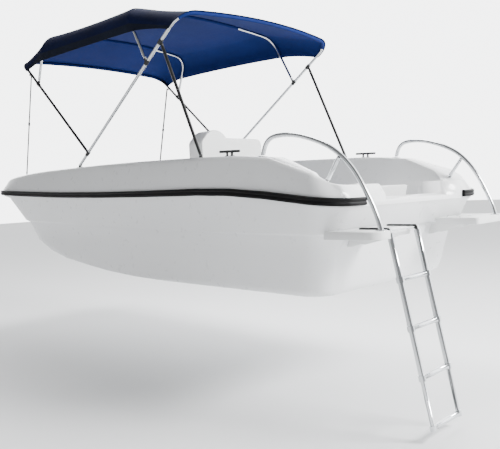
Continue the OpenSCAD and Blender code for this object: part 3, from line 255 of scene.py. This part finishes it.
# node, shown name, material, slot, bevel in metres, and the angle from which an edge stays sharp
shells = [
    ("hull", "HullShell", "whiteGelcoat", "gelcoat", 0.0, 28),
    ("deck", "DeckMoulding", "whiteGelcoat", "gelcoat", 0.0, 62),
    ("rub_rail", "RubRail", "blackVinyl", "black_vinyl", 0.004, 35),
    ("seat_port", "SeatPort", "innerGelcoat", "gelcoat", 0.008, 35),
    ("seat_starboard", "SeatStarboard", "innerGelcoat", "gelcoat", 0.008, 35),
    ("bow_bench", "BowBench", "innerGelcoat", "gelcoat", 0.008, 35),
    ("console", "Console", "innerGelcoat", "gelcoat", 0.010, 35),
    ("platform_port", "PlatformPort", "nonSlipGelcoat", "gelcoat", 0.006, 35),
    ("platform_starboard", "PlatformStarboard", "nonSlipGelcoat", "gelcoat", 0.006, 35),
    ("corner_caps", "CornerCaps", "whiteNylon", "gelcoat", 0.0012, 35),
    ("main_bow", "MainBow", "polishedStainless", "steel", 0.0, 35),
    ("front_bow", "FrontBow", "blackPowderCoat", "black_tube", 0.0, 35),
    ("aft_middle_bow", "AftMiddleBow", "polishedStainless", "steel", 0.0, 35),
    ("forward_middle_bow", "ForwardMiddleBow", "polishedStainless", "steel", 0.0, 35),
    ("rear_braces", "RearBraces", "blackPowderCoat", "black_tube", 0.0, 35),
    ("handrail_port", "HandrailPort", "polishedStainless", "steel", 0.0, 40),
    ("handrail_starboard", "HandrailStarboard", "polishedStainless", "steel", 0.0, 40),
    ("handrail_feet", "HandrailFeet", "polishedStainless", "steel", 0.0008, 35),
    ("deck_cleats", "DeckCleats", "blackNylon", "steel", 0.0, 35),
    ("tow_eye", "TowEye", "polishedStainless", "steel", 0.0, 35),
    ("canopy_deck_hinges", "CanopyDeckHinges", "blackNylon", "nylon", 0.0008, 35),
    ("canopy_hinge_pins", "CanopyHingePins", "polishedStainless", "steel", 0.0005, 35),
    ("main_bow_jaws", "MainBowJaws", "blackNylon", "nylon", 0.0006, 35),
    ("front_bow_jaws", "FrontBowJaws", "blackNylon", "nylon", 0.0006, 35),
    ("brace_hinges", "BraceHinges", "blackNylon", "nylon", 0.0008, 35),
    ("strap_buckles", "StrapBuckles", "blackNylon", "nylon", 0.001, 35),
    ("strap_deck_eyes", "StrapDeckEyes", "polishedStainless", "steel", 0.0, 35),
    ("platform_brackets", "PlatformBrackets", "innerGelcoat", "gelcoat", 0.001, 35),
    ("platform_bolts", "PlatformBolts", "polishedStainless", "steel", 0.0006, 35),
    ("ladder_base", "LadderBase", "blackNylon", "nylon", 0.001, 35),
    ("ladder_pin", "LadderPin", "polishedStainless", "steel", 0.0005, 35),
    ("ladder_section_1", "LadderSection1", "polishedStainless", "steel", 0.0, 35),
    ("ladder_section_2", "LadderSection2", "polishedStainless", "steel", 0.0, 35),
    ("ladder_section_3", "LadderSection3", "polishedStainless", "steel", 0.0, 35),
    ("ladder_section_4", "LadderSection4", "polishedStainless", "steel", 0.0, 35),
    ("crankshaft", "Crankshaft", "brushedStainless", "steel", 0.0, 35),
    ("paddle_wheel", "PaddleWheel", "paddlePlastic", "paddle_plastic", 0.0, 35),
    ("crank_end_caps", "CrankEndCaps", "blackNylon", "nylon", 0.001, 35),
    ("pedal_port_inner", "PedalPortInner", "blackNylon", "nylon", 0.002, 35),
    ("pedal_port_outer", "PedalPortOuter", "blackNylon", "nylon", 0.002, 35),
    ("pedal_starboard_inner", "PedalStarboardInner", "blackNylon", "nylon", 0.002, 35),
    ("pedal_starboard_outer", "PedalStarboardOuter", "blackNylon", "nylon", 0.002, 35),
    ("tiller", "Tiller", "blackNylon", "nylon", 0.0, 35),
    ("rudder", "Rudder", "rudderPlastic", "rudder_plastic", 0.002, 35),
    ("wheel_box", "WheelBox", "innerGelcoat", "gelcoat", 0.004, 35),
    ("stock_tube", "StockTube", "innerGelcoat", "gelcoat", 0.001, 35),
]
for shell in shells:
    softened(*shell)
# these four show their CAD meshes as they are
for node, material in (("buoyancy_foam", "closedCellFoam"), ("shaft_bearings", "greyNylon"),
                       ("strap_upper", "blackWebbing"), ("strap_lower", "blackWebbing")):
    setMaterial(nodes[node], material)
print("shells made", len(shells))

# Canopy: one cloth over four bows, with pocket seams, bound edges and side drops
canopy = {
    "half": 0.868, "corner": 0.150, "camber": 8,  # half width, corner radius and degrees of crown
    "tubeRadius": 0.0125, "clearance": 0.0014, "thick": 0.0016,
    "dropSteps": 4, "cornerSteps": 8, "crownSteps": 16,
    "sags": [0, 0.010, 0.012, 0.010, 0],  # of the cloth between two rows
    "hemRise": [0, 0.010, 0.008, 0.010, 0],  # of its lower edge between two rows
    "spanSteps": [1, 14, 16, 14, 1],
    "sideHem": 0.032, "sideLift": 0.0012, "endLift": 0.0015, "pocketWidth": 0.07, "pocketLift": 0.001,
    "sleeveLift": 0.0018, "sleeveSides": 24,
}
mainHinge, frontHinge = (0.74, 1.00137), (0.604737, 1.12715)
aftMiddleHinge, forwardMiddleHinge = (-0.361152, 1.7568), (1.42063, 1.87302)
# each row of the cloth: its bow's pivot, angle and leg, its side drop, and its step past the bow
bows = [
    {"at": mainHinge, "angle": 146.9, "leg": 1.720, "drop": 0.040, "shift": -0.020},
    {"at": mainHinge, "angle": 146.9, "leg": 1.720, "drop": 0.040, "shift": 0.0},
    {"at": aftMiddleHinge, "angle": 61.6, "leg": 0.372, "drop": 0.095, "shift": 0.0},
    {"at": forwardMiddleHinge, "angle": 111.7, "leg": 0.290, "drop": 0.095, "shift": 0.0},
    {"at": frontHinge, "angle": 40.8, "leg": 1.390, "drop": 0.040, "shift": 0.0},
    {"at": frontHinge, "angle": 40.8, "leg": 1.390, "drop": 0.040, "shift": 0.022},
]
dropSteps = canopy["dropSteps"]


# points and normals down one side, round a corner, over the crown and down the other side
def bowSection(leg, drop):
    edge, corner, camber = canopy["half"], canopy["corner"], canopy["camber"]
    cornerSteps, crownSteps = canopy["cornerSteps"], canopy["crownSteps"]
    crownRadius = corner + (edge - corner) / math.sin(math.radians(camber))
    half = [(edge, leg - drop * (1 - k / dropSteps), 1, 0) for k in range(dropSteps)]
    for i in range(cornerSteps + 1):
        a = math.radians((90 - camber) * i / cornerSteps)
        half.append((edge - corner + corner * math.cos(a), leg + corner * math.sin(a),
                     math.cos(a), math.sin(a)))
    for i in range(1, crownSteps + 1):
        a = math.radians(90 - camber * (1 - i / crownSteps))
        rise = leg - (crownRadius - corner) * math.cos(math.radians(camber)) + crownRadius * math.sin(a)
        half.append((crownRadius * math.cos(a), rise, math.cos(a), math.sin(a)))
    return np.array(half + [(-y, h, -ny, nz) for y, h, ny, nz in half[-2::-1]])


def bowRow(bow):
    s = bowSection(bow["leg"], bow["drop"])
    a = math.radians(bow["angle"])
    spots = np.c_[bow["at"][0] + s[:, 1] * math.cos(a) + bow["shift"], s[:, 0],
                  bow["at"][1] + s[:, 1] * math.sin(a)]
    out = np.c_[0 * s[:, 0], s[:, 2], s[:, 3] * math.sin(a)]
    return spots, out / np.linalg.norm(out, axis=1)[:, None]


rows = [bowRow(b) for b in bows]


# the cloth across the boat at u rows from its aft edge, off metres outside the bows' centre lines
def clothRow(u, off):
    k = min(int(u), len(rows) - 2)
    s = u - k
    p = rows[k][0] * (1 - s) + rows[k + 1][0] * s
    n = rows[k][1] * (1 - s) + rows[k + 1][1] * s
    n /= np.linalg.norm(n, axis=1)[:, None]
    pull = 4 * s * (1 - s)
    p = p + n * (off - canopy["sags"][k] * pull)
    for i in range(dropSteps):
        lift = canopy["hemRise"][k] * pull * (1 - i / dropSteps)
        for j in (i, len(p) - 1 - i):
            p[j, 2] += lift
    return p


def lengths(p):  # run along a line of points
    return np.r_[0, np.cumsum(np.linalg.norm(np.diff(p, axis=0), axis=1))]


def pickColumns(p, columns):  # columns may fall between two points
    low = np.floor(columns).astype(int).clip(0, len(p) - 2)
    t = (columns - low)[:, None]
    return p[low] * (1 - t) + p[low + 1] * t


# a cloth piece from its mesh and each point's place on the flat cloth
def sewn(name, mesh, uvs):
    layer = mesh.uv_layers.new(name="flat")
    for loop in mesh.loops:
        layer.data[loop.index].uv = uvs[loop.vertex_index]
    mesh.shade_smooth()
    work = bmesh.new()
    work.from_mesh(mesh)
    bmesh.ops.recalc_face_normals(work, faces=work.faces)
    work.to_mesh(mesh)
    work.free()
    mesh.set_sharp_from_angle(angle=math.radians(50))
    obj = bpy.data.objects.new(name, mesh)
    bpy.context.scene.collection.objects.link(obj)
    return obj


# a closed sheet between two offsets from the bows' centre lines
def clothSheet(name, us, columns, inner, outer, outside, inside, edge):
    columns = np.asarray(columns, float)
    verts, uvs, faces, slots = [], [], [], []
    for off in (outer, inner):
        across = 0
        last = None
        for u in us:
            p = pickColumns(clothRow(u, off), columns)
            if last is not None:
                across += np.linalg.norm(p[len(p) // 2] - last)
            last = p[len(p) // 2]
            verts += p.tolist()
            uvs += [(across, l) for l in lengths(p)]
    m, r = len(columns), len(us)
    half = m * r
    for i in range(r - 1):
        for j in range(m - 1):
            a, b, c, d = i * m + j, i * m + j + 1, (i + 1) * m + j + 1, (i + 1) * m + j
            faces += [(a, b, c, d), (half + d, half + c, half + b, half + a)]
            slots += [0, 1]
    for j in range(m - 1):
        faces += [(j + 1, j, half + j, half + j + 1)]
        e = (r - 1) * m + j
        faces += [(e, e + 1, half + e + 1, half + e)]
        slots += [2, 2]
    for i in range(r - 1):
        a, b = i * m, (i + 1) * m
        faces += [(a, b, half + b, half + a)]
        a, b = a + m - 1, b + m - 1
        faces += [(b, a, half + a, half + b)]
        slots += [2, 2]
    mesh = bpy.data.meshes.new(name)
    mesh.from_pydata(verts, [], faces)
    for k in range(3):
        mesh.materials.append(None)
    mesh.polygons.foreach_set("material_index", slots)
    obj = sewn(name, mesh, uvs)
    setMaterial(obj, outside, inside, edge)
    return obj


allColumns = np.arange(len(rows[0][0]))
mainUs = [k + s / n for k, n in enumerate(canopy["spanSteps"]) for s in range(n)] + [5]
clothIn = canopy["tubeRadius"] + canopy["clearance"]
clothOut = clothIn + canopy["thick"]
# its inner face is painted a lighter blue for the light that shines through the cloth
cloth = clothSheet("CanopyCloth", mainUs, allColumns, clothIn, clothOut,
                   "navyCanvas", "blueCanvas", "navyBinding")
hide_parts("canopy_cloth")


# a strip sewn over the cloth, lift proud outside and over proud inside
def strip(name, us, columns, material, lift, over=0.0):
    # inside, each strip takes the inner face's blue, painted light shining through the cloth
    return clothSheet(name, us, columns, clothIn - over, clothOut + lift, material, "blueCanvas", material)


# a pocket of cloth round a bow's crown, out to reach metres on each side
def sleeve(name, bow, body, reach):
    path = bowRow(bow)[0]
    path = path[np.abs(path[:, 1]) <= reach]
    a = math.radians(bow["angle"])
    normal = np.array([-math.sin(a), 0, math.cos(a)])
    verts, faces, uvs = [], [], []
    sides, radius = canopy["sleeveSides"], canopy["tubeRadius"] + canopy["sleeveLift"]
    run = lengths(path)
    for i, p in enumerate(path):
        t = path[min(i + 1, len(path) - 1)] - path[max(i - 1, 0)]
        side = np.cross(normal, t / np.linalg.norm(t))
        for k in range(sides):
            f = 2 * math.pi * k / sides
            verts.append(p + radius * (math.cos(f) * side + math.sin(f) * normal))
            uvs.append((radius * f, run[i]))
    for i in range(len(path) - 1):
        for k in range(sides):
            a, b = i * sides + k, i * sides + (k + 1) % sides
            faces.append((a, b, b + sides, a + sides))
    faces += [tuple(range(sides))[::-1], tuple(range(len(verts) - sides, len(verts)))]
    mesh = bpy.data.meshes.new(name)
    mesh.from_pydata([tuple(v) for v in verts], [], faces)
    obj = sewn(name, mesh, uvs)
    # the sleeve takes the inner face's lighter blue, painted light shining through the cloth
    setMaterial(obj, "blueCanvas")
    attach(obj, body)
    return obj


# columns from one lower edge of the cloth up to width metres of cloth
def edgeColumns(width, count=3):
    run = lengths(rows[1][0])
    return np.interp(np.linspace(0, width, count), run, allColumns)


last = len(allColumns) - 1
hems = []
portEdge = edgeColumns(canopy["sideHem"])
sideLift, endLift = canopy["sideLift"], canopy["endLift"]
for side, columns in (("Port", portEdge), ("Starboard", last - portEdge[::-1])):
    hems.append(strip("SideHem" + side, mainUs, columns, "navyBinding", sideLift, sideLift))
hems.append(strip("AftHem", [0.0, 0.3, 0.6], allColumns, "navyBinding", endLift, endLift))
hems.append(strip("FrontHem", [4.3, 4.7, 5.0], allColumns, "navyBinding", endLift, endLift))
pocketWidth = canopy["pocketWidth"]
for k, name in ((2, "AftMiddlePocket"), (3, "ForwardMiddlePocket")):
    spanAft = np.linalg.norm(rows[k][0][last // 2] - rows[k - 1][0][last // 2])
    spanFore = np.linalg.norm(rows[k + 1][0][last // 2] - rows[k][0][last // 2])
    us = [k - pocketWidth / 2 / spanAft, k - 0.01, k, k + 0.01, k + pocketWidth / 2 / spanFore]
    hems.append(strip(name, us, allColumns, "navyCanvas", canopy["pocketLift"]))
for piece in [cloth, *hems]:
    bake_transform(piece)
for name, k, body, reach in (
        ("AftSleeve", 1, "main_bow", 0.85), ("AftMiddleSleeve", 2, "aft_middle_bow", 0.42),
        ("ForwardMiddleSleeve", 3, "forward_middle_bow", 0.42), ("FrontSleeve", 4, "front_bow", 0.85)):
    sleeve(name, bows[k], body, reach)
print("canopy made", len(hems))


# Stage, camera and lights
studio = {
    "floorHeight": -0.76, "floorHalf": 40, "floorColour": "#e2e3e4", "floorRough": 0.9,
    "roomColour": "#fafbfc", "away": (0.25, -0.97, 0.0),  # the room is brightest this way
    # name: place, aim, size and watts
    "lights": {
        "keyLight": ((-7.0, -2.0, 4.0), (-1.0, 0, 0.6), 2.5, 1150),
        "fillLight": ((-2.5, 8.0, 3.0), (0, 0, 0.8), 4.0, 40),
        "topLight": ((1.0, -1.5, 8.0), (0, 0, 0.8), 4.0, 700),
    },
}


def areaLight(name, spot, aim, size, energy):
    lamp = bpy.data.lights.new(name, "AREA")
    lamp.shape = "DISK"
    lamp.size = size
    lamp.energy = energy
    obj = bpy.data.objects.new(name, lamp)
    obj.location = spot
    obj.rotation_euler = (Vector(aim) - Vector(spot)).to_track_quat("-Z", "Y").to_euler()
    bpy.context.scene.collection.objects.link(obj)


def plainMaterial(name, code, rough):
    material = bpy.data.materials.new(name)
    material.use_nodes = True
    shader = material.node_tree.nodes["Principled BSDF"]
    shader.inputs["Base Color"].default_value = linear(code)
    shader.inputs["Roughness"].default_value = rough
    return material


floorZ, floorHalf = studio["floorHeight"], studio["floorHalf"]
floorMesh = bpy.data.meshes.new("StudioFloor")
floorMesh.from_pydata([(x, y, floorZ) for x, y in (
    (-floorHalf, -floorHalf), (floorHalf, -floorHalf), (floorHalf, floorHalf), (-floorHalf, floorHalf))],
    [], [(0, 1, 2, 3)])
floor = bpy.data.objects.new("StudioFloor", floorMesh)
floor.data.materials.append(plainMaterial("PaleFloor", studio["floorColour"], studio["floorRough"]))
bpy.context.scene.collection.objects.link(floor)

# a soft white room, brighter beyond the boat than on the port side, and dimmer overhead
world = bpy.data.worlds.new("Studio")
world.use_nodes = True
room = world.node_tree
where = addNode(room, "ShaderNodeTexCoord").outputs["Generated"]
away = addNode(room, "ShaderNodeVectorMath", {"operation": "DOT_PRODUCT"}, {
    0: where, 1: studio["away"]}).outputs["Value"]
glow = addNode(room, "ShaderNodeMapRange", inputs={
    "Value": away, "From Min": 0.05, "From Max": 0.55, "To Min": 0.4, "To Max": 5.6}).outputs[0]
height = addNode(room, "ShaderNodeSeparateXYZ", inputs={0: where}).outputs["Z"]
ceiling = addNode(room, "ShaderNodeMapRange", inputs={
    "Value": height, "From Min": 0.42, "From Max": 0.75, "To Min": 1.0, "To Max": 0.6}).outputs[0]
strength = addNode(room, "ShaderNodeMath", {"operation": "MULTIPLY"}, {0: glow, 1: ceiling}).outputs[0]
room.links.new(strength, room.nodes["Background"].inputs[1])
room.nodes["Background"].inputs[0].default_value = linear(studio["roomColour"])
bpy.context.scene.world = world
for name, lamp in studio["lights"].items():
    areaLight(name, *lamp)

view = {"eye": (-4.29488, 3.71566, 0.68851), "right": (-0.7054, -0.7071, -0.0493),
        "look": (0.7088, -0.7033, -0.0540), "lens": 43.78, "sensor": 36}
eye = Vector(view["eye"])
right = Vector(view["right"]).normalized()
look = Vector(view["look"]).normalized()
up = right.cross(look).normalized()
lens = bpy.data.cameras.new("Camera")
lens.lens, lens.sensor_width = view["lens"], view["sensor"]
lens.clip_end = 200
camera = bpy.data.objects.new("Camera", lens)
camera.matrix_world = Matrix((
    (right.x, up.x, -look.x, eye.x), (right.y, up.y, -look.y, eye.y),
    (right.z, up.z, -look.z, eye.z), (0, 0, 0, 1)))
bpy.context.scene.collection.objects.link(camera)
bpy.context.scene.camera = camera
print("stage set")
